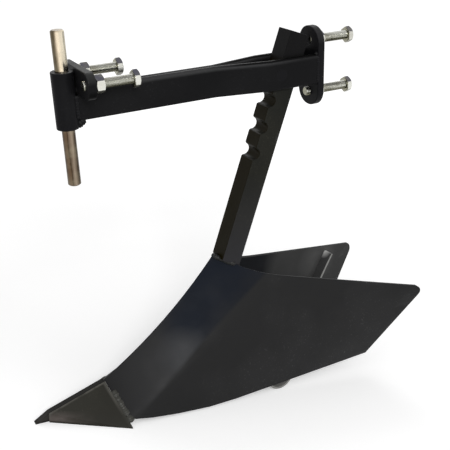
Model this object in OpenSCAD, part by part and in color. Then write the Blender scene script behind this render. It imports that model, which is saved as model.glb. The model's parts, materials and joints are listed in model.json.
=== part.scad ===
// Walk-behind ridger: a V-shaped plough body on a notched square shank, carried in a forked
// beam that hooks to a tiller with an upright hitch pin. Millimetres, +Z up, front towards -X,
// left towards -Y. The plough stands on its share and heel tube, so the ground is Z = 0.

/* [Share] */
// Distance from the point to the end of the share's ridge
ridge_x = 97; // [85:1:110]
// Height of the end of the share's ridge
ridge_z = 44; // [38:1:50]
// Length of the bevelled beak at the point
beak_x = 18; // [14:1:24]
// Height of the ridge where the beak ends
beak_z = 13; // [10:1:16]
// Width of the point bar
point_w = 9; // [6:0.5:12]
// Depth of the point bar below the ridge
point_h = 13; // [10:1:16]
// Distance from the point to the share's rear corners
share_x = 116; // [108:1:126]
// Half-width of the share at its rear corners
share_y = 65; // [58:1:70]
// Thickness of the share's side plates
share_t = 5; // [3:0.5:6]

/* [Mouldboard] */
// Share of the share's rear edge that the mouldboard covers, from the ridge down
toe_share = 0.8; // [0.7:0.02:0.86]
// Distance from the point to the crest, where the prow meets the shank
crest_x = 254.5; // [250:0.5:260]
// Height of the crest
crest_z = 206.5; // [200:0.5:212]
// Hollow of the prow, from the chord between the share and the crest
prow_sag = 9.5; // [4:0.5:16]
// Distance from the point to the shoulder, where the bend reaches the top edge
shoulder_x = 316; // [306:1:326]
// Half-width at the shoulder
shoulder_y = 31; // [27:1:36]
// Height of the shoulder
shoulder_z = 182; // [174:1:188]
// Distance from the point to the belly of the bottom edge, between toe and sole
belly_x = 150; // [135:1:165]
// Half-width at the belly
belly_y = 62; // [58:1:66]
// Height of the belly
belly_z = 3; // [1:0.5:6]
// Distance from the point to the lowest place of the bottom edge
sole_x = 250; // [235:1:265]
// Half-width at the lowest place of the bottom edge
sole_y = 63; // [58:1:68]
// Height of the lowest place of the bottom edge
sole_z = 2.5; // [1:0.5:5]
// Distance from the point to the rear lower corner of the wing
heel_x = 505; // [480:1:530]
// Half-width at the rear lower corner of the wing
heel_y = 62; // [56:1:68]
// Height of the rear lower corner of the wing
heel_z = 28.5; // [22:0.5:34]
// Distance from the point to the wing tip, before it is rounded
tip_x = 575.5; // [550:0.5:600]
// Half-width at the wing tip
tip_y = 93.5; // [86:0.5:100]
// Height of the wing tip
tip_z = 145; // [136:1:152]
// Radius of the rounded wing tip
tip_r = 10; // [6:1:16]
// Sheet thickness
sheet_t = 4; // [3:0.5:5]
// Run of the bend at the bottom edge
bend_low = 10; // [6:1:16]
// Run of the bend at the top edge
bend_high = 34; // [20:1:44]

/* [Wing braces] */
// Place of the rib's top end along the wing, from the bend to the rear edge
rib_top_share = 0.7; // [0.6:0.01:0.75]
// Place of the rib's foot along the wing, from the bend to the rear edge
rib_foot_share = 0.87; // [0.8:0.01:0.9]
// Share of the wing's height below the rib
rib_low_share = 0.18; // [0.14:0.01:0.24]
// Share of the wing's height up to the rib's top
rib_high_share = 0.95; // [0.9:0.01:0.97]
// Height of the rib above the sheet
rib_h = 16; // [10:1:20]
// Thickness of the rib
rib_t = 5; // [4:0.5:8]
// Distance from the point to the axis of the heel tube
heel_tube_x = 351; // [330:1:370]
// Outside diameter of the heel tube
heel_tube_d = 42; // [36:1:48]
// Wall of the heel tube
heel_tube_wall = 3; // [2:0.5:4]

/* [Shank] */
// Side of the square shank
shank_w = 30; // [27:0.5:32]
// Lean of the shank back from upright
shank_lean = 14; // [12:0.2:16]
// Length of the shank above the fulcrum pin
shank_above = 57.5; // [50:0.5:64]
// Length of the shank below the fulcrum pin
shank_below = 306.5; // [296:0.5:316]
// Distance of the fulcrum pin's axis behind the shank's front face
notch_sink = 0.3; // [0:0.1:2]
// Spacing of the height notches
notch_pitch = 36.7; // [32:0.1:42]
// Number of height notches
notch_count = 4; // [3:1:5]
// Width of a notch at its flared mouth
notch_mouth = 19.5; // [18:0.5:20.5]

/* [Beam] */
// Distance from the point to the fulcrum pin
fulcrum_x = 327.5; // [321:0.5:334]
// Height of the fulcrum pin
fulcrum_z = 460.4; // [452:0.2:468]
// Nose-down pitch of the beam as it stands
beam_pitch = 6.3; // [4:0.1:8]
// Diameter of the fulcrum pin
fulcrum_d = 16; // [14:0.5:17]
// Distance from the fulcrum pin to the hitch pin
beam_len = 283; // [265:1:300]
// Height of the flat bars
bar_h = 40; // [34:1:44]
// Thickness of the flat bars
bar_t = 8; // [6:0.5:10]
// Gap between the shank and each bar
fork_play = 0.5; // [0.3:0.1:1]
// Height of the bars' middle above the fulcrum pin
bar_rise = 0; // [-2:0.5:2]
// Distance ahead of the fulcrum pin where the bars part
parting_x = 87; // [78:1:98]
// Distance ahead of the fulcrum pin where the bars run parallel again
fork_x = 15; // [12:1:20]
// Distance behind the fulcrum pin of the clamp plate's front face
clamp_x = 56.5; // [55:0.5:61]

/* [Bolt plates] */
// Length of the clamp plate
clamp_plate_l = 106; // [100:1:112]
// Length of the hitch plate
hitch_plate_l = 102; // [98:1:110]
// Width of the clamp plate
clamp_plate_w = 47; // [45:1:50]
// Width of the hitch plate
hitch_plate_w = 32; // [28:1:36]
// Thickness of the bolt plates
plate_t = 10; // [8:0.5:12]
// Corner radius of the clamp plate
clamp_plate_r = 22; // [14:1:22]
// Corner radius of the hitch plate
hitch_plate_r = 14; // [8:1:15]
// Spacing of the two tapped holes in each bolt plate
bolt_gap = 69; // [64:1:74]
// Height of the hitch plate's middle above the fulcrum pin
hitch_plate_rise = 28; // [26:1:34]
// Height of the clamp plate's middle above the fulcrum pin
clamp_plate_rise = 0.5; // [-2:0.5:2]

/* [Hitch] */
// Outside diameter of the hitch tube
tube_d = 27; // [24:0.5:30]
// Length of the hitch tube
tube_l = 68; // [62:1:76]
// Height of the hitch tube's middle above the fulcrum pin
tube_rise = 6; // [2:1:10]
// Diameter of the hitch pin
pin_d = 16; // [12:0.5:18]
// Length of the hitch pin
pin_l = 186; // [170:1:200]
// Length of the hitch pin above the tube
pin_above = 47; // [38:1:56]
// Depth that the hitch pin is turned down where it rests in the tube
pin_relief = 0.2; // [0.16:0.02:0.3]
// Chamfer at the ends of the hitch pin
pin_chamfer = 1.5; // [0.5:0.5:2.5]

/* [Set bolts] */
// Thread diameter of the set bolts
bolt_d = 12; // [10:0.5:14]
// Width across the flats of heads and nuts
hex_af = 19; // [17:0.5:22]
// Slope of the chamfer on heads and nuts
hex_slope = 0.6; // [0.4:0.05:0.7]
// Height of a bolt head
head_h = 7.5; // [6:0.5:9]
// Height of a lock nut
nut_h = 10; // [8:0.5:12]
// Length of the steering bolts
steer_bolt_l = 60; // [54:1:66]
// Length of the upper clamp bolt
upper_bolt_l = 55; // [50:1:60]
// Length of the lower clamp bolt
lower_bolt_l = 65; // [60:1:70]
// Distance that the upper clamp bolt is screwed back from the shank
upper_back = 14; // [2:0.5:16]
// Length of the left steering bolt that stands out in front of the hitch plate
steer_out = 1.5; // [0.5:0.5:4]
// Distance that the right steering bolt is screwed back behind the left one
right_back = 6; // [0:0.5:8]
// Gap between the left steering nut and the hitch plate
left_nut_gap = 2.5; // [0.5:0.5:4]
// Gap between the right steering nut and the hitch plate
right_nut_gap = 9.5; // [0.5:0.5:10]
// Length of the lower clamp bolt that stands out in front of the clamp plate
lower_out = 5; // [3:0.5:7]
// Chamfer at the tip of a bolt
bolt_chamfer = 1; // [0.5:0.1:1.5]

/* [Fits] */
// Running clearance of pins and threads, on the radius
running = 0.08; // [0.05:0.01:0.1]
// Clearance where a bolt's tip bears on the shank
bearing_gap = 0.3; // [0.3:0.05:0.5]
// Gap that a weld closes between fitted pieces
weld_gap = 0.2; // [0.1:0.05:0.3]

/* [Hidden] */
$fn = 64;
paint = [0.09, 0.09, 0.10];
worn_paint = [0.16, 0.15, 0.13];
yellow_zinc = [0.72, 0.60, 0.40];
bright_zinc = [0.72, 0.73, 0.72];
far = 400;

// Corners of the left half's mirror image, on the +Y side, measured from the point
ridge_end = [ridge_x, point_w / 2, ridge_z];
share_corner = [share_x, share_y, 0];
prow_foot = [ridge_x + weld_gap, 0, ridge_z];
toe = ridge_end + (share_corner - ridge_end) * toe_share + [weld_gap, 0, 0];
crest = [crest_x, 0, crest_z];
shoulder = [shoulder_x, shoulder_y, shoulder_z];
belly = [belly_x, belly_y, belly_z];
sole = [sole_x, sole_y, sole_z];
heel = [heel_x, heel_y, heel_z];
tip = [tip_x, tip_y, tip_z];

// The rounded wing tip reaches furthest back, and sets the length of the whole tool
tip_top_way = unit([shoulder_x - tip_x, shoulder_z - tip_z]);
tip_rear_way = unit([heel_x - tip_x, heel_z - tip_z]);
tip_half_angle = acos(tip_top_way * tip_rear_way) / 2;
tip_centre = [tip_x, tip_z] + unit(tip_top_way + tip_rear_way) * tip_r / sin(tip_half_angle);
body_len = tip_centre[0] + tip_r;

// Beam sizes that follow from the shank, the bars and the pins
tube_r = tube_d / 2;
fork_half = shank_w / 2 + fork_play;
spread_angle = atan(fork_half / (parting_x - fork_x));
bar_corner = bar_t * tan(spread_angle / 2);
hitch_face_x = -beam_len + tube_r;
tube_z = tube_rise - tube_l / 2;
pin_z = tube_z + tube_l + pin_above - pin_l;
clamp_lean = shank_lean + beam_pitch;
upper_z = clamp_plate_rise + bolt_gap / 2;
lower_z = clamp_plate_rise - bolt_gap / 2;
bolt_tip_r = bolt_d / 2 - bolt_chamfer;
upper_tip_x = (upper_z + bolt_tip_r) * tan(clamp_lean)
    + (shank_w - notch_sink) / cos(clamp_lean) + bearing_gap;
notch_r = fulcrum_d / 2 + running;
hex_r = hex_af / 2 / cos(30);
hex_chamfer = (hex_r - hex_af / 2) * hex_slope;

function unit(a) = a / norm(a);
function lerp(a, b, t) = a + (b - a) * t;
function curve(a, b, c, t) = lerp(lerp(a, b, t), lerp(b, c, t), t);

// Mouldboard surface on the +Y side: c runs from the prow to the rear edge, v from bottom to top
c_bend = 0.26;
c_wing = 0.40;
sole_share = (sole_x - toe[0]) / (heel_x - toe[0]);
prow_way = unit(crest - prow_foot);
hollow_way = [prow_way[2], 0, -prow_way[0]];
function bow(v) = hollow_way * prow_sag * 4 * v * (1 - v);
function bottom_edge(a) = a < sole_share
    ? curve(toe, belly, sole, a / sole_share)
    : lerp(sole, heel, (a - sole_share) / (1 - sole_share));
function strip_point(a, v) = lerp(lerp(prow_foot, toe, a), lerp(crest, shoulder, a), v) + bow(v);
function wing_point(a, v) = lerp(bottom_edge(a), lerp(shoulder, tip, a), v) + bow(v) * (1 - a);
function bend_run(v) = lerp(bend_low, bend_high, v);
function strip_part(v) = 1 - bend_run(v) / norm(strip_point(1, v) - strip_point(0, v));
function wing_part(v) = bend_run(v) / norm(wing_point(1, v) - wing_point(0, v));
function skin(c, v) = c <= c_bend
    ? strip_point(c / c_bend * strip_part(v), v)
    : c < c_wing
    ? curve(
        strip_point(strip_part(v), v), strip_point(1, v), wing_point(wing_part(v), v),
        (c - c_bend) / (c_wing - c_bend))
    : wing_point(lerp(wing_part(v), 1, (c - c_wing) / (1 - c_wing)), v);
step = 0.004;
function inward(c, v) =
    let (c0 = max(c - step, 0), c1 = min(c + step, 1))
    let (v0 = max(v - step, 0), v1 = min(v + step, 1))
    unit(cross(skin(c1, v) - skin(c0, v), skin(c, v1) - skin(c, v0)));
function layer(cs, vs, depth) = [for (v = vs) [for (c = cs) skin(c, v) + inward(c, v) * depth]];
rows = [for (k = [0:10]) k / 10];
columns = concat(
    [for (k = [0:4]) c_bend * k / 4],
    [for (k = [1:5]) lerp(c_bend, c_wing, k / 6)],
    [for (k = [0:10]) lerp(c_wing, 1, k / 10)]);

// Places a child measured from the point of the share
module from_point() translate([-body_len / 2, 0, 0]) children();
// Places a child measured from the fulcrum pin, along the beam and across it
module on_beam()
    from_point() translate([fulcrum_x, 0, fulcrum_z]) rotate([0, -beam_pitch, 0]) children();
// Places a child measured from the fulcrum pin, up the shank's front face
module on_shank()
    from_point() translate([fulcrum_x, 0, fulcrum_z]) rotate([0, shank_lean, 0]) children();
// Lays a cylinder along X or along Y
module along_x() rotate([0, 90, 0]) children();
module along_y() rotate([90, 0, 0]) children();
// Keeps what lies on one side of the mid-plane, beyond a distance from it
module one_side(y0 = 0) intersection() {
    children();
    translate([-far, y0, -far]) cube([far * 4, far, far * 3]);
}
module left() mirror([0, 1, 0]) children();

// Solid between two grids of points, the second one deeper inside
module slab(outer, inner) {
    m = len(outer);
    n = len(outer[0]);
    points = concat([for (r = outer) each r], [for (r = inner) each r]);
    function at(side, i, j) = side * m * n + i * n + j;
    function quad(a, b, c, d) = [[a, b, c], [a, c, d]];
    polyhedron(points, concat(
        [for (i = [0:m - 2], j = [0:n - 2])
            each quad(at(0, i, j), at(0, i, j + 1), at(0, i + 1, j + 1), at(0, i + 1, j))],
        [for (i = [0:m - 2], j = [0:n - 2])
            each quad(at(1, i, j), at(1, i + 1, j), at(1, i + 1, j + 1), at(1, i, j + 1))],
        [for (j = [0:n - 2]) each quad(at(0, 0, j), at(1, 0, j), at(1, 0, j + 1), at(0, 0, j + 1))],
        [for (j = [0:n - 2])
            each quad(at(0, m - 1, j), at(0, m - 1, j + 1), at(1, m - 1, j + 1), at(1, m - 1, j))],
        [for (i = [0:m - 2]) each quad(at(0, i, 0), at(0, i + 1, 0), at(1, i + 1, 0), at(1, i, 0))],
        [for (i = [0:m - 2])
            each quad(at(0, i, n - 1), at(1, i, n - 1), at(1, i + 1, n - 1), at(0, i + 1, n - 1))]));
}

// Share: a bevelled bar for the point, and a bevelled plate on each side of it
module share_point() color(worn_paint) from_point() {
    foot_x = ridge_x - (ridge_z - point_h) * (ridge_x - beak_x) / (ridge_z - beak_z);
    translate([0, point_w / 2, 0]) along_y() linear_extrude(point_w)
        polygon([[0, 0], [beak_x, beak_z], [ridge_x, ridge_z], [ridge_x, ridge_z - point_h], [foot_x, 0]]);
}

module share_plate() {
    ridge_front = [beak_x, point_w / 2, beak_z];
    edge_front = [beak_x, point_w / 2 + share_t / 2, 0];
    inner_way = unit(cross(share_corner - ridge_front, ridge_end - ridge_front)) * share_t;
    outer = [ridge_front, ridge_end, share_corner, edge_front];
    intersection() {
        one_side(point_w / 2) polyhedron(
            concat(outer, [for (p = outer) p + inner_way]),
            [[0, 2, 1], [0, 3, 2], [4, 5, 6], [4, 6, 7],
             [0, 1, 5], [0, 5, 4], [1, 2, 6], [1, 6, 5],
             [2, 3, 7], [2, 7, 6], [3, 0, 4], [3, 4, 7]]);
        translate([-far, -far, 0]) cube([far * 2, far * 2, far]);
    }
}
module right_share() color(worn_paint) from_point() share_plate();
module left_share() color(worn_paint) from_point() left() share_plate();

// Mouldboard: each wing is one bent sheet, mitred at the prow, with a rounded tip
module tip_cutter() {
    reach = tip_r / tan(tip_half_angle);
    translate([0, far, 0]) along_y() linear_extrude(far) difference() {
        polygon([
            [tip_x, tip_z] + tip_top_way * reach,
            [tip_x, tip_z] + (tip_centre - [tip_x, tip_z]) * -1,
            [tip_x, tip_z] + tip_rear_way * reach,
            tip_centre]);
        translate(tip_centre) circle(tip_r);
    }
}

module wing() difference() {
    one_side() slab(layer(columns, rows, 0), layer(columns, rows, sheet_t));
    tip_cutter();
}
module right_wing() color(paint) from_point() wing();
module left_wing() color(paint) from_point() left() wing();

// Rib: a flat bar on edge inside each wing, along the rear edge
rib_steps = 8;
rib_rows = [for (k = [0:rib_steps]) lerp(rib_low_share, rib_high_share, k / rib_steps)];
function rib_layer(depth) =
    let (run = rib_t / norm(skin(1, 0.5) - skin(c_wing, 0.5)) * (1 - c_wing))
    [for (v = rib_rows) [for (k = [0, 1])
        let (c = lerp(c_wing, 1, lerp(rib_foot_share, rib_top_share, v)) + k * run)
        skin(c, v) + inward(c, v) * depth]];
module rib() slab(rib_layer(sheet_t + weld_gap), rib_layer(sheet_t + rib_h));
module right_rib() color(paint) from_point() rib();
module left_rib() color(paint) from_point() left() rib();

// Heel tube: spreads the wings near the ground and carries the back of the plough
function wing_run(x, v) =
    let (x0 = wing_point(sole_share, v)[0], x1 = wing_point(1, v)[0])
    lerp(sole_share, 1, (x - x0) / (x1 - x0));
function wing_column(x, v) = lerp(c_wing, 1, (wing_run(x, v) - wing_part(v)) / (1 - wing_part(v)));
function inner_point(x, v) =
    let (c = wing_column(x, v)) skin(c, v) + inward(c, v) * (sheet_t + weld_gap);
tube_end_row = 0.25;
module heel_tube() color(paint) from_point() {
    front_x = heel_tube_x - heel_tube_d / 2;
    low = inner_point(front_x, 0);
    high = inner_point(front_x, tube_end_row);
    end_lean = atan2(low[1] - high[1], high[2] - low[2]);
    difference() {
        translate([heel_tube_x, 0, heel_tube_d / 2]) along_y() difference() {
            cylinder(d = heel_tube_d, h = far, center = true);
            cylinder(d = heel_tube_d - heel_tube_wall * 2, h = far * 2, center = true);
        }
        for (side = [0, 1]) mirror([0, side, 0]) translate([heel_tube_x, low[1], low[2]])
            rotate([end_lean, 0, 0]) translate([-far / 2, 0, -far / 2]) cube(far);
    }
}

// Shank: square bar with height notches on its front edge
module notch_profile() {
    outside = [-notch_sink - notch_r, notch_mouth / 2 + notch_r];
    inside = (notch_mouth / 2 - notch_sink) / 2;
    circle(notch_r);
    polygon([
        [outside[0], outside[1]], [inside, inside], [inside, -inside], [outside[0], -outside[1]]]);
}
// Everything on the outer side of the mouldboard's inner face, near the crest
below_crest = 0.8;
module outside_crest() {
    corner = skin(0, 1) + inward(0, 1) * (sheet_t + weld_gap);
    back = unit(skin(c_bend, 1) - skin(0, 1)) * far;
    down = unit(skin(0, below_crest) - skin(0, 1)) * far;
    out = -inward(0, 1) * far;
    face = [for (d = [down, [0, 0, 0]]) [corner - back + d, corner + back + d]];
    slab([for (r = face) [for (p = r) p + out]], face);
}
module shank() color(paint) difference() {
    on_shank() difference() {
        translate([-notch_sink, -shank_w / 2, -shank_below])
            cube([shank_w, shank_w, shank_below + shank_above]);
        for (k = [0:notch_count - 1]) translate([0, shank_w, -k * notch_pitch])
            along_y() linear_extrude(shank_w * 2) notch_profile();
    }
    from_point() outside_crest();
    from_point() left() outside_crest();
}

// Beam: two flat bars, side by side at the hitch and parted into a fork at the shank
module bar() difference() {
    translate([0, 0, bar_rise - bar_h / 2]) linear_extrude(bar_h) polygon([
        [-beam_len, 0], [-parting_x, 0], [-fork_x, fork_half], [clamp_x, fork_half],
        [clamp_x, fork_half + bar_t], [-fork_x - bar_corner, fork_half + bar_t],
        [-parting_x - bar_corner, bar_t], [-beam_len, bar_t]]);
    translate([-beam_len, 0, -bar_h]) cylinder(r = tube_r + weld_gap, h = bar_h * 2);
    translate([hitch_face_x - far, -far / 2, hitch_plate_rise - hitch_plate_w / 2 - weld_gap])
        cube([far + plate_t + weld_gap, far, bar_h]);
    along_y() cylinder(d = fulcrum_d + weld_gap, h = far, center = true);
}
module right_bar() color(paint) on_beam() bar();
module left_bar() color(paint) on_beam() left() bar();

module fulcrum_pin() color(paint) on_beam()
    along_y() cylinder(d = fulcrum_d, h = (fork_half + bar_t) * 2, center = true);

// Rectangle with round corners
module round_rectangle(length, width, radius) {
    square([length - radius * 2, width], center = true);
    square([length, width - radius * 2], center = true);
    for (x = [-1, 1], y = [-1, 1])
        translate([x * (length / 2 - radius), y * (width / 2 - radius)]) circle(radius);
}

// Bolt plate: a round-cornered plate with two tapped holes
module bolt_plate(length, width, radius) along_x() linear_extrude(plate_t) difference() {
    round_rectangle(length, width, radius);
    for (x = [-1, 1]) translate([x * bolt_gap / 2, 0]) circle(bolt_d / 2 + running);
}
module clamp_plate() color(paint) on_beam()
    translate([clamp_x, 0, clamp_plate_rise])
    bolt_plate(clamp_plate_l, clamp_plate_w, clamp_plate_r);
module hitch_plate() color(paint) on_beam()
    translate([hitch_face_x, 0, hitch_plate_rise]) rotate([90, 0, 0])
    bolt_plate(hitch_plate_l, hitch_plate_w, hitch_plate_r);

module hitch_tube() color(paint) on_beam() translate([-beam_len, 0, tube_z]) difference() {
    cylinder(d = tube_d, h = tube_l);
    cylinder(r = pin_d / 2 + running, h = far, center = true);
}

// Hitch pin: plain pin with chamfered ends, turned down a little where it rests in the tube
module hitch_pin() color(yellow_zinc) on_beam() translate([-beam_len, 0, pin_z]) rotate_extrude() {
    r = pin_d / 2;
    tube_low = tube_z - pin_z;
    tube_high = tube_low + tube_l;
    polygon([
        [0, 0], [r - pin_chamfer, 0], [r, pin_chamfer],
        [r, tube_low], [r - pin_relief, tube_low], [r - pin_relief, tube_high], [r, tube_high],
        [r, pin_l - pin_chamfer], [r - pin_chamfer, pin_l], [0, pin_l]]);
}

// Set bolt: tip at the origin, head towards +X
module hex_solid(height, chamfer_front, chamfer_back) intersection() {
    cylinder(r = hex_r, h = height, $fn = 6);
    rotate_extrude() polygon([
        [0, 0], [chamfer_front ? hex_af / 2 : hex_r, 0],
        [hex_r, chamfer_front ? hex_chamfer : 0],
        [hex_r, height - (chamfer_back ? hex_chamfer : 0)],
        [chamfer_back ? hex_af / 2 : hex_r, height], [0, height]]);
}
module set_bolt(length) along_x() {
    rotate_extrude() polygon([
        [0, 0], [bolt_tip_r, 0], [bolt_d / 2, bolt_chamfer], [bolt_d / 2, length], [0, length]]);
    translate([0, 0, length]) hex_solid(head_h, false, true);
}
module lock_nut() along_x() difference() {
    hex_solid(nut_h, true, true);
    cylinder(r = bolt_d / 2 + running, h = far, center = true);
}
module steering_bolt(back) color(bright_zinc) on_beam()
    translate([hitch_face_x - steer_out + back, bolt_gap / 2, hitch_plate_rise])
    set_bolt(steer_bolt_l);
module steering_nut(gap) color(bright_zinc) on_beam()
    translate([hitch_face_x + plate_t + gap, bolt_gap / 2, hitch_plate_rise]) lock_nut();
module right_steering_bolt() steering_bolt(right_back);
module left_steering_bolt() left() steering_bolt(0);
module right_steering_nut() steering_nut(right_nut_gap);
module left_steering_nut() left() steering_nut(left_nut_gap);
module upper_clamp_bolt() color(bright_zinc) on_beam()
    translate([upper_tip_x + upper_back, 0, upper_z]) set_bolt(upper_bolt_l);
module lower_clamp_bolt() color(bright_zinc) on_beam()
    translate([clamp_x - lower_out, 0, lower_z]) set_bolt(lower_bolt_l);
module clamp_nut(z) color(bright_zinc) on_beam() translate([clamp_x + plate_t, 0, z]) lock_nut();
module upper_clamp_nut() clamp_nut(upper_z);
module lower_clamp_nut() clamp_nut(lower_z);

share_point();
left_share();
right_share();
left_wing();
right_wing();
left_rib();
right_rib();
heel_tube();
shank();
left_bar();
right_bar();
fulcrum_pin();
clamp_plate();
hitch_plate();
hitch_tube();
hitch_pin();
left_steering_bolt();
right_steering_bolt();
left_steering_nut();
right_steering_nut();
upper_clamp_bolt();
lower_clamp_bolt();
upper_clamp_nut();
lower_clamp_nut();
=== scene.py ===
"""Looks of the walk-behind ridger: satin black paint, eased edges, threaded zinc bolts, weld beads."""
import json
import math

import bmesh
import bpy
from mathutils import Matrix, Vector, noise as blender_noise


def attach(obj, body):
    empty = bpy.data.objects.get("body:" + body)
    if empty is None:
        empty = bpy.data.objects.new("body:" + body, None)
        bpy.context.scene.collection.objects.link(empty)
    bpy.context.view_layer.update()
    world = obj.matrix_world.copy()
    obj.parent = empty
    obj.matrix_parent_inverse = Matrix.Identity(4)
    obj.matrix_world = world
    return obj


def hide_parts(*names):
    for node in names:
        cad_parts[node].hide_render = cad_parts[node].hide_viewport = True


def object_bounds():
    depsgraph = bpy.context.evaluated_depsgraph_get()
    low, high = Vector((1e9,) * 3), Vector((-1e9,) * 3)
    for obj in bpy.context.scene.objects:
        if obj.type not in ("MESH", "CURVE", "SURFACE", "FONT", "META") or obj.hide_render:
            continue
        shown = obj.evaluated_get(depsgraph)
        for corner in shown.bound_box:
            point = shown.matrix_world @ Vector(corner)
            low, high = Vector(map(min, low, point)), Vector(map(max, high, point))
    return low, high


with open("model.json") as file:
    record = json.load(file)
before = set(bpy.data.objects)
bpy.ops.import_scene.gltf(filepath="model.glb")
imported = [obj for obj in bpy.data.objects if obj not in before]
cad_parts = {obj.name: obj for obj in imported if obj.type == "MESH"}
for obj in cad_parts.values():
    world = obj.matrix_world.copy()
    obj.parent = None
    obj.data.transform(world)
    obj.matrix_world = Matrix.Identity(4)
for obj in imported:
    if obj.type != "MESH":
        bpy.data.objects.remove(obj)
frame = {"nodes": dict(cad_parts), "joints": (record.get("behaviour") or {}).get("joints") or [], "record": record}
cad_box = [list(corner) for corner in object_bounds()]
nodes = frame["nodes"]
joints = {joint["child"]: joint for joint in frame["joints"]}
plough_nodes = frame["record"]["behaviour"]["bodies"]["plough"]
MM = 0.001
SIDES = ((-1, "left"), (1, "right"))

# Frames of the beam and of the share's point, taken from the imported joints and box
point = Vector((cad_box[0][0], 0, 0))
beam_origin = Vector(joints["beam"]["pos_m"])
beam_up = Vector(joints["hitch_pin"]["axis"])
beam_back = Vector(joints["upper_clamp_bolt"]["axis"])
beam_pitch = math.atan2(beam_back.z, beam_back.x)


def from_point(x, y, z):
    """A place in millimetres from the share's point: back, to the right and up."""
    return point + Vector((x, y, z)) * MM


def on_beam(x, y, z):
    """A place in millimetres from the fulcrum: back along the beam, to the right and up from it."""
    return beam_origin + (beam_back * x + beam_up * z + Vector((0, y, 0))) * MM


# Node helpers that serve any node tree
def spread_node(tree, source, low, high, to_low=0.0, to_high=1.0):
    """Maps a value from one range to another, held at its ends."""
    node = tree.nodes.new("ShaderNodeMapRange")
    node.inputs["From Min"].default_value = low
    node.inputs["From Max"].default_value = high
    node.inputs["To Min"].default_value = to_low
    node.inputs["To Max"].default_value = to_high
    tree.links.new(source, node.inputs["Value"])
    return node.outputs["Result"]


def math_node(tree, operation, first, second):
    """Joins two values by an operation."""
    node = tree.nodes.new("ShaderNodeMath")
    node.operation = operation
    tree.links.new(first, node.inputs[0])
    tree.links.new(second, node.inputs[1])
    return node.outputs["Value"]


class Material:
    """A procedural material whose patterns lie in the object's own frame, in metres."""

    def __init__(self, name, metallic=0.0, specular=0.5):
        self.material = bpy.data.materials.new(name)
        self.material.use_nodes = True
        self.tree = self.material.node_tree
        self.shader = self.tree.nodes["Principled BSDF"]
        self.shader.inputs["Metallic"].default_value = metallic
        self.shader.inputs["Specular IOR Level"].default_value = specular
        spot = self.tree.nodes.new("ShaderNodeTexCoord")
        self.place = spot.outputs["Object"]
        self.normal = spot.outputs["Normal"]

    def noise(self, scale, detail, stretch=(1, 1, 1), turn=(0, 0, 0)):
        mapping = self.tree.nodes.new("ShaderNodeMapping")
        mapping.inputs["Scale"].default_value = stretch
        mapping.inputs["Rotation"].default_value = turn
        self.tree.links.new(self.place, mapping.inputs["Vector"])
        texture = self.tree.nodes.new("ShaderNodeTexNoise")
        texture.inputs["Scale"].default_value = scale
        texture.inputs["Detail"].default_value = detail
        self.tree.links.new(mapping.outputs["Vector"], texture.inputs["Vector"])
        return texture.outputs["Fac"]

    def vector(self, operation, source, other, output="Value"):
        node = self.tree.nodes.new("ShaderNodeVectorMath")
        node.operation = operation
        self.tree.links.new(source, node.inputs[0])
        node.inputs[1].default_value = other
        return node.outputs[output]

    def along(self, way, origin):
        """How far a place lies from an origin along a direction."""
        return self.vector("DOT_PRODUCT", self.vector("SUBTRACT", self.place, origin, "Vector"), way)

    def distance(self, centre):
        return self.vector("DISTANCE", self.place, centre)

    def facing(self, way):
        """From -1 to 1, how much the surface looks in a direction."""
        return self.vector("DOT_PRODUCT", self.normal, Vector(way).normalized())

    def ramp(self, source, stops):
        node = self.tree.nodes.new("ShaderNodeValToRGB")
        elements = node.color_ramp.elements
        while len(elements) < len(stops):
            elements.new(1.0)
        for element, (position, colour) in zip(elements, stops):
            element.position = position
            element.color = (*colour, 1)
        self.tree.links.new(source, node.inputs["Fac"])
        return node.outputs["Color"]

    def spread(self, source, low, high, to_low=0.0, to_high=1.0):
        return spread_node(self.tree, source, low, high, to_low, to_high)

    def join(self, operation, first, second):
        return math_node(self.tree, operation, first, second)

    def times(self, first, second):
        return self.join("MULTIPLY", first, second)

    def mix(self, factor, first, second):
        """Mixes two colours, each one a tuple or another node's output."""
        node = self.tree.nodes.new("ShaderNodeMix")
        node.data_type = "RGBA"
        self.tree.links.new(factor, node.inputs["Factor"])
        for socket, value in ((node.inputs[6], first), (node.inputs[7], second)):
            if isinstance(value, tuple):
                socket.default_value = (*value, 1)
            else:
                self.tree.links.new(value, socket)
        return node.outputs[2]

    def set(self, socket, source):
        self.tree.links.new(source, self.shader.inputs[socket])

    def bump(self, layers):
        """Stacks bumps of (height source, depth in metres)."""
        last = None
        for source, depth in layers:
            node = self.tree.nodes.new("ShaderNodeBump")
            node.inputs["Distance"].default_value = depth
            node.inputs["Strength"].default_value = 1.0
            self.tree.links.new(source, node.inputs["Height"])
            if last:
                self.tree.links.new(last, node.inputs["Normal"])
            last = node.outputs["Normal"]
        self.set("Normal", last)


# Paint and zinc
SPECK_GAIN = 2.4
WAVES, ORANGE_PEEL, ZINC_GRAIN = 0.6 * MM, 0.04 * MM, 0.02 * MM
ZINC_CLOUD = (0.30, 0.27, 0.19)


def paint(name, body, dust, specular, gloss, masks=()):
    """Satin paint: uneven gloss, orange peel, dust in broad patches, and spots by mask: rubbed and tinted paint,
    and painted light and shade.
    """
    m = Material(name, specular=specular)
    patches = m.spread(m.noise(scale=9, detail=4), 0.42, 0.72)
    specks = m.spread(m.noise(scale=420, detail=2), 0.62, 0.75)
    colour = m.mix(patches, body, dust)
    colour = m.mix(m.times(specks, patches), colour, tuple(c * SPECK_GAIN for c in dust))
    for mask, spot in masks:
        colour = m.mix(mask(m), colour, spot)
    m.set("Base Color", colour)
    m.set("Roughness", m.spread(m.noise(scale=30, detail=5), 0.3, 0.7, *gloss))
    m.bump([(m.noise(scale=6, detail=2), WAVES), (m.noise(scale=700, detail=2), ORANGE_PEEL)])
    return m


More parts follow.
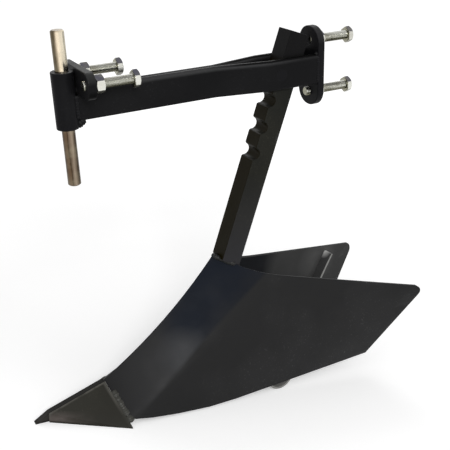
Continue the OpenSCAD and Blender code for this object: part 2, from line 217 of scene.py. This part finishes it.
def metal(name, shades, gloss, grain, way, below=None):
    """Zinc plating whose colour is painted light and shade, set by the way each face looks, with fine lengthwise
    grain, and a darker, browner ramp of it below the fulcrum.
    """
    m = Material(name, metallic=1.0)
    turn = (0, beam_pitch, 0)
    streaks = m.noise(scale=240, detail=3, stretch=grain, turn=turn)
    around = m.join("ADD", m.facing(way), m.spread(streaks, 0.3, 0.7, -0.12, 0.12))
    colour = m.ramp(m.spread(around, -1, 1), shades)
    if below:
        painted_light_layer = m.ramp(m.spread(around, -1, 1), below)
        colour = m.mix(m.spread(m.along(beam_up, beam_origin), 0.012, 0.0), colour, painted_light_layer)
    clouds = m.spread(m.noise(scale=70, detail=4), 0.45, 0.75, 0.0, 0.3)
    m.set("Base Color", m.mix(clouds, colour, ZINC_CLOUD))
    m.set("Roughness", m.spread(streaks, 0.3, 0.7, *gloss))
    m.bump([(m.noise(scale=900, detail=2, stretch=grain, turn=turn), ZINC_GRAIN)])
    return m


# Masks, which say where on a part the paint is rubbed, dusty or tinted, and where light and shade are painted,
# with distances in metres
SHARE_BACK, SHARE_SLOPE = 116, 0.432
BEND_LOW, BEND_HIGH = from_point(144, 0, 25), from_point(305, 0, 166)
rib_top = max((v.co for v in nodes["right_rib"].data.vertices), key=lambda c: c.z)


def near(centre, reach, grain=12):
    """Mask that fades out with distance from a point, with a ragged border."""
    def mask(m):
        ball = m.spread(m.distance(centre), reach, reach * 0.25)
        return m.times(ball, m.spread(m.noise(grain, detail=4), 0.3, 0.6, 0.5, 1.0))
    return mask


def low_scuffs(m):
    """A lengthwise scuff a little above the ground, at the front of the share."""
    height = m.along((0, 0, 1), (0, 0, 0))
    band = m.times(m.spread(height, 0.0015, 0.004), m.spread(height, 0.016, 0.007))
    front = m.spread(m.along((1, 0, 0), point), 0.075, 0.035)
    streaks = m.spread(m.noise(scale=60, detail=5, stretch=(0.2, 1, 1)), 0.30, 0.60, 0.35, 1.0)
    return m.times(m.times(band, front), streaks)


def back_edge(m):
    """The rear edge of a share plate, rubbed along its upper half."""
    behind = m.along((1, 0, SHARE_SLOPE), from_point(SHARE_BACK, 0, 0))
    upper = m.spread(m.along((0, 0, 1), (0, 0, 0)), 0.012, 0.030, 0.2, 1.0)
    return m.times(m.spread(behind, -0.0055, -0.0025), upper)


def ridge_line(m):
    """The inner edge of a share plate, beside the point bar, where a highlight is painted, broken up by noise."""
    aside = m.join("MAXIMUM", m.along((0, 1, 0), point), m.along((0, -1, 0), point))
    painted_light_layer = m.spread(m.noise(scale=90, detail=4), 0.3, 0.55, 0.3, 1.0)
    return m.times(m.spread(aside, 0.0072, 0.0054), painted_light_layer)


def dust_and_top_sheen(m):
    """Dust, with a painted sheen, on everything that looks up."""
    return m.spread(m.facing(beam_up), 0.05, 0.95)


def shaded_underside(m):
    """Faces that look down, which get a painted shade."""
    return m.spread(m.facing(-beam_up), 0.1, 0.4)


def bar_edge_highlight(m):
    """A painted highlight along a bar's upper edge, fading out behind."""
    fading = m.spread(m.along(beam_back, beam_origin), -0.03, 0.03, 1.0, 0.3)
    return m.times(m.spread(m.along(beam_up, beam_origin), 0.0135, 0.0170), fading)


def shaded_bar_top(m):
    """The top of a bar behind its parting, with a painted shade darker than the bare paint."""
    behind = m.spread(m.along(beam_back, beam_origin), -0.10, -0.05)
    return m.times(behind, m.spread(m.facing(beam_up), 0.2, 0.6))


def shaded_front_face(m):
    """Faces that look forward, which get a painted shade."""
    return m.spread(m.facing((-1, 0, 0.2)), 0.5, 0.8)


def shank_foot(m):
    """The lower end of the shank."""
    return m.spread(m.along(beam_up, beam_origin), -0.13, -0.25)


def shank_head(m):
    """The upper end of the shank, above the beam."""
    return m.spread(m.along(beam_up, beam_origin), 0.010, 0.022)


def rubbed_and_highlit_edges(m):
    """Faces that look to the left, where the paint is rubbed off to grey steel and a highlight is painted."""
    left = m.spread(m.facing((0, -1, 0.35)), 0.62, 0.8)
    return m.times(left, m.spread(m.noise(scale=300, detail=3), 0.3, 0.5, 0.6, 1.0))


def inner_face(m, side):
    """The face of a wing that looks into the V."""
    return m.spread(m.facing((0, -side, 0)), 0.2, 0.5)


def inside(side, start, reach):
    """Mask for the inner face of a wing, fading out behind a start."""
    def mask(m):
        fading = m.spread(m.along((1, 0, 0), from_point(start, 0, 0)), reach, 0.0)
        return m.times(inner_face(m, side), fading)
    return mask


def painted_light_corner(side):
    """Mask for painted light in the corner between a wing and the front of its rib, which lifts the shade there.
    """
    centre = (rib_top.x - 0.016, abs(rib_top.y) * side, rib_top.z - 0.012)

    def mask(m):
        return m.times(inner_face(m, side), near(centre, 0.045)(m))
    return mask


def in_strip(mask):
    """Keeps a mask to the strip in front of the wing's bend line, so that the painted light and shade stop sharply
    at the line.
    """
    run = BEND_HIGH - BEND_LOW
    front = Vector((-run.z, 0, run.x)).normalized()

    def kept(m):
        return m.times(mask(m), m.spread(m.along(front, BEND_LOW), -0.004, 0.001))
    return kept


# The finishes: each paint has its own colour, dust, specular level, gloss and spots, some of them painted light
# and shade
# A blue-black painted reflection on the strip in front of a wing's bend line, darker than the paint
BLUE_BLACK_REFLECTION = (0.0054, 0.0076, 0.0128)


def wing_paint(name, side):
    return paint(
        name, (0.0171, 0.0171, 0.0174), (0.0238, 0.0238, 0.0243), 0.055, (0.38, 0.55),
        # A painted highlight low on the strip
        [(in_strip(near(from_point(172, 38 * side, 60), 0.085)), (0.030, 0.030, 0.031)),
         # Painted blue-black reflections higher on the strip
         (in_strip(near(from_point(256, 16 * side, 178), 0.12)), BLUE_BLACK_REFLECTION),
         (in_strip(near(from_point(217, 18 * side, 121), 0.05)), BLUE_BLACK_REFLECTION),
         # A painted highlight patch on the strip
         (in_strip(near(from_point(200, 37 * side, 80), 0.042)), (0.040, 0.041, 0.044)),
         # The inner face painted lighter, as light falls on it
         (inside(side, 290, 0.6), (0.0465, 0.0465, 0.0460)),
         # Painted light in the corner by the rib
         (painted_light_corner(side), (0.090, 0.090, 0.089)),
         # A painted shadow deep in the V, near the prow
         (inside(side, 370, 0.026), (0.0036, 0.0043, 0.0065))])


# The rib's top end gets a painted highlight, and its left faces are rubbed grey steel with a painted highlight
rib_paint = paint(
    "satin_black_rib", (0.055, 0.055, 0.055), (0.064, 0.064, 0.064), 0.13, (0.3, 0.45),
    [(rubbed_and_highlit_edges, (0.235, 0.235, 0.225)), (near(rib_top, 0.013), (0.74, 0.74, 0.72))])
# The heel tube is light grey from rubbed bare steel with a painted reflection, and its middle between the wings
# gets a painted shade
tube_paint = paint(
    "worn_tube_with_painted_light", (0.16, 0.16, 0.155), (0.24, 0.235, 0.22), 0.3, (0.3, 0.5),
    [(near(from_point(351, 0, 42), 0.05), (0.02, 0.02, 0.02))])
# Faces that look up are lighter from dust and a painted sheen; the plate's undersides get a painted shade
beam_paint = paint(
    "satin_black_beam", (0.0064, 0.0064, 0.0072), (0.0104, 0.0104, 0.0113), 0.04, (0.30, 0.48),
    [(dust_and_top_sheen, (0.030, 0.030, 0.031))])
plate_paint = paint(
    "satin_black_plate", (0.0062, 0.0062, 0.0068), (0.0100, 0.0100, 0.0106), 0.04, (0.30, 0.48),
    [(dust_and_top_sheen, (0.034, 0.035, 0.0345)), (shaded_underside, (0.0012, 0.0012, 0.0014))])
# The bars get a painted highlight along their upper edge and a painted shade on their tops behind the parting
bar_paint = paint(
    "satin_black_bar", (0.0058, 0.0058, 0.0063), (0.0090, 0.0090, 0.0095), 0.04, (0.30, 0.48),
    [(bar_edge_highlight, (0.036, 0.036, 0.037)), (shaded_bar_top, (0.002, 0.002, 0.0021))])
weld_paint = paint("satin_black_weld", (0.026, 0.026, 0.021), (0.075, 0.073, 0.060), 0.3, (0.28, 0.45))
crest_paint = paint("satin_black_crest", (0.008, 0.0085, 0.0085), (0.022, 0.022, 0.020), 0.2, (0.28, 0.44))
# The shank's forward faces get a painted shade
shank_paint = paint(
    "satin_black_shank", (0.0118, 0.0122, 0.0107), (0.0208, 0.0202, 0.0158), 0.035, (0.32, 0.5),
    [(shank_foot, (0.0262, 0.0258, 0.0277)), (shaded_front_face, (0.0062, 0.0046, 0.0006)),
     (shank_head, (0.0066, 0.0065, 0.0068)),
     (near(on_beam(5, -15, -90), 0.012, 200), (0.055, 0.055, 0.055))])
# The share's inner edges get a painted highlight beside the point bar
share_paint = paint(
    "satin_black_share", (0.017, 0.0162, 0.0125), (0.026, 0.0245, 0.019), 0.10, (0.34, 0.55),
    [(low_scuffs, (0.098, 0.083, 0.076)), (ridge_line, (0.078, 0.075, 0.065)),
     (back_edge, (0.062, 0.060, 0.052))])
point_paint = paint(
    "satin_black_point", (0.0065, 0.0062, 0.0055), (0.012, 0.011, 0.009), 0.10, (0.34, 0.55),
    [(low_scuffs, (0.03, 0.028, 0.025))])
# The pin's colour is painted light and shade across it: dark on the side that looks forward and to the right, pale
# on the side that looks back and to the left, with a darker, browner ramp below the beam
pin_metal = metal(
    "yellow_zinc",
    [(0.05, (0.11, 0.085, 0.052)), (0.34, (0.095, 0.074, 0.045)), (0.45, (0.30, 0.24, 0.165)),
     (0.55, (0.62, 0.52, 0.39)), (0.66, (0.67, 0.58, 0.44)), (0.90, (0.72, 0.65, 0.51)),
     (0.98, (0.34, 0.31, 0.24))],
    gloss=(0.14, 0.28), grain=(1, 1, 0.05), way=(0.87, -0.48, 0),
    below=[
        (0.04, (0.034, 0.023, 0.014)), (0.26, (0.118, 0.080, 0.052)), (0.42, (0.110, 0.072, 0.044)),
        (0.50, (0.038, 0.023, 0.013)), (0.60, (0.110, 0.079, 0.055)), (0.76, (0.22, 0.172, 0.128)),
        (0.92, (0.058, 0.041, 0.027))])
# The bolts' colour is painted reflection by facing: faces that look up and down are dark, faces that look to the
# left are bright
bolt_metal = metal(
    "bright_zinc",
    [(0.16, (0.045, 0.043, 0.025)), (0.40, (0.22, 0.215, 0.15)), (0.55, (0.37, 0.37, 0.325)),
     (0.66, (0.61, 0.61, 0.565)), (0.78, (0.61, 0.61, 0.565)), (0.88, (0.18, 0.18, 0.16)),
     (1.0, (0.09, 0.09, 0.11))],
    gloss=(0.16, 0.28), grain=(0.2, 1, 1), way=(0, -0.45, 0.9))

finish = {
    "share_point": point_paint, "left_share": share_paint, "right_share": share_paint,
    "left_wing": wing_paint("satin_black_left", -1), "right_wing": wing_paint("satin_black_right", 1),
    "left_rib": rib_paint, "right_rib": rib_paint, "heel_tube": tube_paint, "shank": shank_paint,
    "left_bar": bar_paint, "right_bar": bar_paint, "hitch_plate": plate_paint, "hitch_pin": pin_metal,
}
for name, node in nodes.items():
    fastener = "nut" in name or "bolt" in name
    material = finish.setdefault(name, bolt_metal if fastener else beam_paint)
    node.data.materials.clear()
    node.data.materials.append(material.material)


# Piece helpers
def new_piece(name, mesh, material, body, smooth):
    """Makes an object of a bmesh, smooth up to an angle in degrees, riding on a body."""
    data = bpy.data.meshes.new(name)
    mesh.to_mesh(data)
    mesh.free()
    data.materials.append(material.material)
    data.polygons.foreach_set("use_smooth", [True] * len(data.polygons))
    data.set_sharp_from_angle(angle=math.radians(smooth))
    piece = bpy.data.objects.new(name, data)
    bpy.context.scene.collection.objects.link(piece)
    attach(piece, body)
    return piece


def stack(rings, place):
    """Skins a stack of rings of equal count, and closes both ends."""
    mesh = bmesh.new()
    rows = [[mesh.verts.new(place(*p)) for p in ring] for ring in rings]
    count = len(rows[0])
    for low, high in zip(rows, rows[1:]):
        for k in range(count):
            n = (k + 1) % count
            mesh.faces.new((low[k], low[n], high[n], high[k]))
    mesh.faces.new(list(reversed(rows[0])))
    mesh.faces.new(rows[-1])
    bmesh.ops.recalc_face_normals(mesh, faces=mesh.faces)
    return mesh


def node_copy(name):
    """Copies a CAD node's mesh, with its split corners joined."""
    mesh = bmesh.new()
    mesh.from_mesh(nodes[name].data)
    bmesh.ops.remove_doubles(mesh, verts=mesh.verts, dist=0.01 * MM)
    return mesh


# Smooth skin for the two wings: the CAD sheet with its facets shaded as one curve
for name in ("left_wing", "right_wing"):
    piece = new_piece(name + "_skin", node_copy(name), finish[name], "plough", smooth=30)
    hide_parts(name)

# Solids with slightly rounded edges, as sawn and painted steel has them
FLAT_ENOUGH, SHARP = math.radians(1), math.radians(35)
EASED = {
    "shank": 0.7, "share_point": 0.6, "left_share": 0.6, "right_share": 0.6,
    "left_rib": 0.6, "right_rib": 0.6, "clamp_plate": 1.0, "hitch_plate": 1.0, "hitch_tube": 0.8,
}
for name, width in EASED.items():
    mesh = node_copy(name)
    bmesh.ops.dissolve_limit(mesh, angle_limit=FLAT_ENOUGH, verts=mesh.verts, edges=mesh.edges)
    edges = [e for e in mesh.edges if len(e.link_faces) == 2 and e.calc_face_angle() > SHARP]
    bmesh.ops.bevel(
        mesh, geom=edges, offset=width * MM, offset_type="OFFSET", segments=3, profile=0.5,
        affect="EDGES", clamp_overlap=False)
    body = "plough" if name in plough_nodes else "beam"
    piece = new_piece(name + "_eased", mesh, finish[name], body, smooth=15)
    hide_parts(name)

# Flat bars with round long edges, swept along the fork's bends
BAR_T, BAR_H, BAR_EDGE, PIN_PROUD = 8.0, 40.0, 3.7, 0.05
FORK_HALF, PARTING, FORK_START, CLAMP, BAR_FRONT = 15.5, -87.0, -15.0, 56.3, -269.6
MITRE = BAR_T * math.tan(math.atan(FORK_HALF / (FORK_START - PARTING)) / 2)
BAR_PLAN = (
    ((BAR_FRONT, 0), (BAR_FRONT, BAR_T)), ((PARTING, 0), (PARTING - MITRE, BAR_T)),
    ((FORK_START, FORK_HALF), (FORK_START - MITRE, FORK_HALF + BAR_T)),
    ((CLAMP, FORK_HALF), (CLAMP, FORK_HALF + BAR_T)))
CORNER_STEPS = 8


def bar_profile():
    """Rectangle with round corners, as (distance from the inner face, height)."""
    points = []
    thick = BAR_T - PIN_PROUD
    for quarter in range(4):
        right_half = quarter in (0, 3)
        top_half = quarter < 2
        x = thick - BAR_EDGE if right_half else BAR_EDGE
        z = BAR_H / 2 - BAR_EDGE if top_half else BAR_EDGE - BAR_H / 2
        for k in range(CORNER_STEPS + 1):
            a = (quarter + k / CORNER_STEPS) * math.pi / 2
            points.append((x + BAR_EDGE * math.cos(a), z + BAR_EDGE * math.sin(a)))
    return points


for side, word in SIDES:
    rings = []
    for (x0, y0), (x1, y1) in BAR_PLAN:
        rings.append([
            (x0 + (x1 - x0) * d / BAR_T, (y0 + (y1 - y0) * d / BAR_T) * side, z) for d, z in bar_profile()])
    piece = new_piece(word + "_bar_round", stack(rings, on_beam), bar_paint, "beam", smooth=20)
    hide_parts(word + "_bar")

# Set bolts with helical threads and chamfered hexagon heads
BOLT_R, THREAD, THREAD_DEPTH, CREST_GAP, TIP_CHAMFER = 6.0, 1.75, 1.07, 0.03, 1.0
FLANK, ROOT = 2.9, 0.28
RINGS_PER_TURN, RING_POINTS = 8, 48
HEAD, FLATS, WASHER, WASHER_R = 7.5, 19.0, 0.5, 8.9
UNDER_R, UNDER_BEVEL = 10.4, 0.3
CHAMFER, CHAMFER_R, CHAMFER_IN, CHAMFER_STEPS = 1.25, 11.0, 1.9, 5
RIM_R, DISH_R, DISH = 8.6, 8.3, 0.15


def hexagon(angle):
    return FLATS / 2 / math.cos((angle + math.pi / 6) % (math.pi / 3) - math.pi / 6)


def ring(z, radius):
    """A ring at a height, with a radius that is a number or a function of the angle."""
    angles = [2 * math.pi * k / RING_POINTS for k in range(RING_POINTS)]
    reach = [radius(a) if callable(radius) else radius for a in angles]
    return [(r * math.cos(a), r * math.sin(a), z) for r, a in zip(reach, angles)]


def thread_radius(z, angle):
    phase = (z / THREAD - angle / (2 * math.pi)) % 1.0
    ridge = max(0.0, min(1.0, abs(phase - 0.5) * FLANK - ROOT))
    return min(BOLT_R - CREST_GAP - THREAD_DEPTH * (1 - ridge), BOLT_R - TIP_CHAMFER + z)


def bolt_rings(length):
    """Rings of a bolt from its tip to the dished top of its head."""
    rings = []
    steps = int(length / THREAD * RINGS_PER_TURN)
    for k in range(steps + 1):
        z = length * k / steps
        rings.append(ring(z, lambda a, z=z: thread_radius(z, a)))
    rings.append(ring(length, WASHER_R))
    rings.append(ring(length + WASHER, WASHER_R))
    rings.append(ring(length + WASHER, lambda a: min(hexagon(a), UNDER_R)))
    rings.append(ring(length + WASHER + UNDER_BEVEL, hexagon))
    for k in range(CHAMFER_STEPS + 1):
        share = k / CHAMFER_STEPS
        cone = CHAMFER_R - CHAMFER_IN * share
        rings.append(ring(length + HEAD - CHAMFER * (1 - share), lambda a, cone=cone: min(hexagon(a), cone)))
    rings.append(ring(length + HEAD, RIM_R))
    rings.append(ring(length + HEAD - DISH, DISH_R))
    return rings


def threaded_bolt(name):
    """Builds a bolt on the axis and between the ends of its CAD node."""
    way = Vector(joints[name]["axis"])
    side = Vector((0, 1, 0))
    up = way.cross(side)
    corners = [v.co for v in nodes[name].data.vertices]

    def ends(direction):
        reach = [c.dot(direction) for c in corners]
        return min(reach), max(reach)

    tip, top = ends(way)
    axis = side * (sum(ends(side)) / 2) + up * (sum(ends(up)) / 2) + way * tip
    length = (top - tip) / MM - HEAD
    mesh = stack(bolt_rings(length), lambda x, y, z: axis + (side * x + up * y + way * z) * MM)
    piece = new_piece(name + "_threaded", mesh, bolt_metal, name, smooth=32)
    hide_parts(name)


for name in nodes:
    if name.endswith("bolt"):
        threaded_bolt(name)

# Weld beads: rippled, slightly uneven, half sunk into the corner that they fill
BEAD_STEP, BEAD_POINTS, FLAT_BEAD = 0.9, 12, 0.5
RIPPLE, RIPPLE_PITCH, LUMP_SCALE = 0.10, 3.4, 260
END_SIZE, END_GROWTH = 0.45, 0.3


def weld_bead(name, path, radius, body, material, lumps=0.16, out=None):
    """Sweeps a bead along a path, round, or flat towards a direction that looks out of the surface."""
    steps = []
    for start, end in zip(path, path[1:]):
        count = max(2, int((end - start).length / (BEAD_STEP * MM)))
        steps += [start.lerp(end, k / count) for k in range(count)]
    steps.append(path[-1])
    last = len(steps) - 1
    angles = [2 * math.pi * k / BEAD_POINTS for k in range(BEAD_POINTS)]
    rings = []
    run = 0.0
    for k, centre in enumerate(steps):
        ahead = (steps[min(k + 1, last)] - steps[max(k - 1, 0)]).normalized()
        if k:
            run += (centre - steps[k - 1]).length / MM
        across = ahead.cross(out).normalized() if out else ahead.orthogonal().normalized()
        above = ahead.cross(across) * (FLAT_BEAD if out else 1.0)
        wander = blender_noise.noise(centre * LUMP_SCALE)
        wave = math.sin(run * 2 * math.pi / RIPPLE_PITCH + 2 * wander)
        taper = min(1.0, END_SIZE + END_GROWTH * min(k, last - k))
        size = radius * MM * (1 + RIPPLE * wave + lumps * wander) * taper
        rings.append([centre + (across * math.cos(a) + above * math.sin(a)) * size for a in angles])
    new_piece(name, stack(rings, lambda *p: p), material, body, smooth=60)


def between(first, second, share, side):
    x, y, z = (a + (b - a) * share for a, b in zip(first, second))
    return from_point(x, y * side, z)


RIDGE, CORNER, BEHIND = (97, 4.5, 44), (SHARE_BACK, 65, 0), Vector((3.6, 0, -1.0)) * MM
CREST, SHOULDER = (254.5, 0, 206.5), (316, 31, 182)
SHARE_WELD, CREST_WELD = (0.2, 0.35, 0.6, 0.86), (0.02, 0.25, 0.48)
BAR_IN, BAR_OUT, BAR_TOP = FORK_HALF + 1.5, FORK_HALF + BAR_T - 1.5, 18.8
BEAM_WELDS = (
    ("fork_weld_top", (CLAMP, BAR_IN, BAR_TOP), (CLAMP, BAR_OUT, BAR_TOP), 3.2),
    ("fork_weld_bottom", (CLAMP, BAR_IN, -BAR_TOP), (CLAMP, BAR_OUT, -BAR_TOP), 3.2),
    ("fork_weld_side", (CLAMP, BAR_OUT, 17), (CLAMP, BAR_OUT, -17), 2.4),
    ("tube_weld", (-272, 8.3, 11), (-272, 8.3, -17), 3.0),
    ("foot_weld", (-273, 3.5, -26), (-263, 3.5, -19), 5.0))
for side, word in SIDES:
    share_path = [between(RIDGE, CORNER, share, side) + BEHIND for share in SHARE_WELD]
    share_out = Vector((-0.29, 0.62 * side, 0.73))
    weld_bead(word + "_share_weld", share_path, 4.8, "plough", weld_paint, lumps=0.4, out=share_out)
    crest_path = [between(CREST, SHOULDER, share, side) for share in CREST_WELD]
    weld_bead(word + "_crest_weld", crest_path, 3.6, "plough", crest_paint, lumps=0.2)
    for name, start, end, radius in BEAM_WELDS:
        path = [on_beam(x, y * side, z) for x, y, z in (start, end)]
        weld_bead(word + "_" + name, path, radius, "beam", beam_paint)

# Camera at the photograph's viewing angle
PICTURE, FOCAL, SENSOR = 450, 793.98, 36
eye = from_point(-239.5, -886.2, 650.4)
right = Vector((0.87207, -0.48440, 0.06968)).normalized()
forward = Vector((0.47369, 0.79974, -0.36883)).normalized()
above = right.cross(forward).normalized()
camera = bpy.data.cameras.new("camera")
camera.sensor_width = SENSOR
camera.lens = FOCAL / PICTURE * SENSOR
camera.shift_x = -0.0182
camera.shift_y = 0.0095
camera.clip_end = 50
view = bpy.data.objects.new("camera", camera)
turn = Matrix((right, above, -forward)).transposed().to_4x4()
view.matrix_world = Matrix.Translation(eye) @ turn
bpy.context.scene.collection.objects.link(view)
bpy.context.scene.camera = view


# Pale floor, soft studio light and a white surround
def lamp(name, place, target, size, power):
    data = bpy.data.lights.new(name, "AREA")
    data.shape = "DISK"
    data.size = size
    data.energy = power
    thing = bpy.data.objects.new(name, data)
    thing.location = place
    thing.rotation_euler = (Vector(target) - Vector(place)).to_track_quat("-Z", "Y").to_euler()
    bpy.context.scene.collection.objects.link(thing)


lamp("key", (-0.85, -2.1, 1.5), (0, 0, 0.15), size=0.8, power=32)
lamp("fill", (1.5, -1.3, 1.3), (0, 0, 0.2), size=1.4, power=10)
lamp("back", (0.7, 1.7, 1.7), (0, 0, 0.2), size=1.2, power=9)


def seen_directly(tree):
    """1 for rays that show the surround itself: from the camera, in a mirror or through glass."""
    path = tree.nodes.new("ShaderNodeLightPath")
    total = path.outputs["Is Camera Ray"]
    for word in ("Is Glossy Ray", "Is Transmission Ray"):
        total = math_node(tree, "MAXIMUM", total, path.outputs[word])
    return total


WHITE = (1, 1, 1, 1)
WORLD_LIGHT, WORLD_SEEN = 0.45, 1.0
world = bpy.data.worlds.new("surround")
bpy.context.scene.world = world
world.use_nodes = True
surround = world.node_tree
background = surround.nodes["Background"]
background.inputs["Color"].default_value = WHITE
strength = spread_node(surround, seen_directly(surround), 0.0, 1.0, WORLD_LIGHT, WORLD_SEEN)
surround.links.new(strength, background.inputs["Strength"])

FLOOR_REACH = 6
GLOW_START, GLOW_END, GLOW_NEAR, GLOW_FAR = 0.5, 2.5, 0.25, 0.62
floor_corners = [(x * FLOOR_REACH, y * FLOOR_REACH, 0) for x, y in ((-1, -1), (1, -1), (1, 1), (-1, 1))]
floor_data = bpy.data.meshes.new("floor")
floor_data.from_pydata(floor_corners, [], [(0, 1, 2, 3)])
floor = bpy.data.objects.new("floor", floor_data)
bpy.context.scene.collection.objects.link(floor)
floor_paint = Material("pale_floor", specular=0.0)
floor_paint.shader.inputs["Base Color"].default_value = (0.93, 0.93, 0.93, 1)
floor_paint.shader.inputs["Roughness"].default_value = 0.9
floor_paint.shader.inputs["Emission Color"].default_value = WHITE
glow = floor_paint.spread(floor_paint.distance((0, 0, 0)), GLOW_START, GLOW_END, GLOW_NEAR, GLOW_FAR)
floor_paint.set("Emission Strength", floor_paint.times(seen_directly(floor_paint.tree), glow))
floor_data.materials.append(floor_paint.material)

bpy.context.scene.view_settings.view_transform = "Standard"
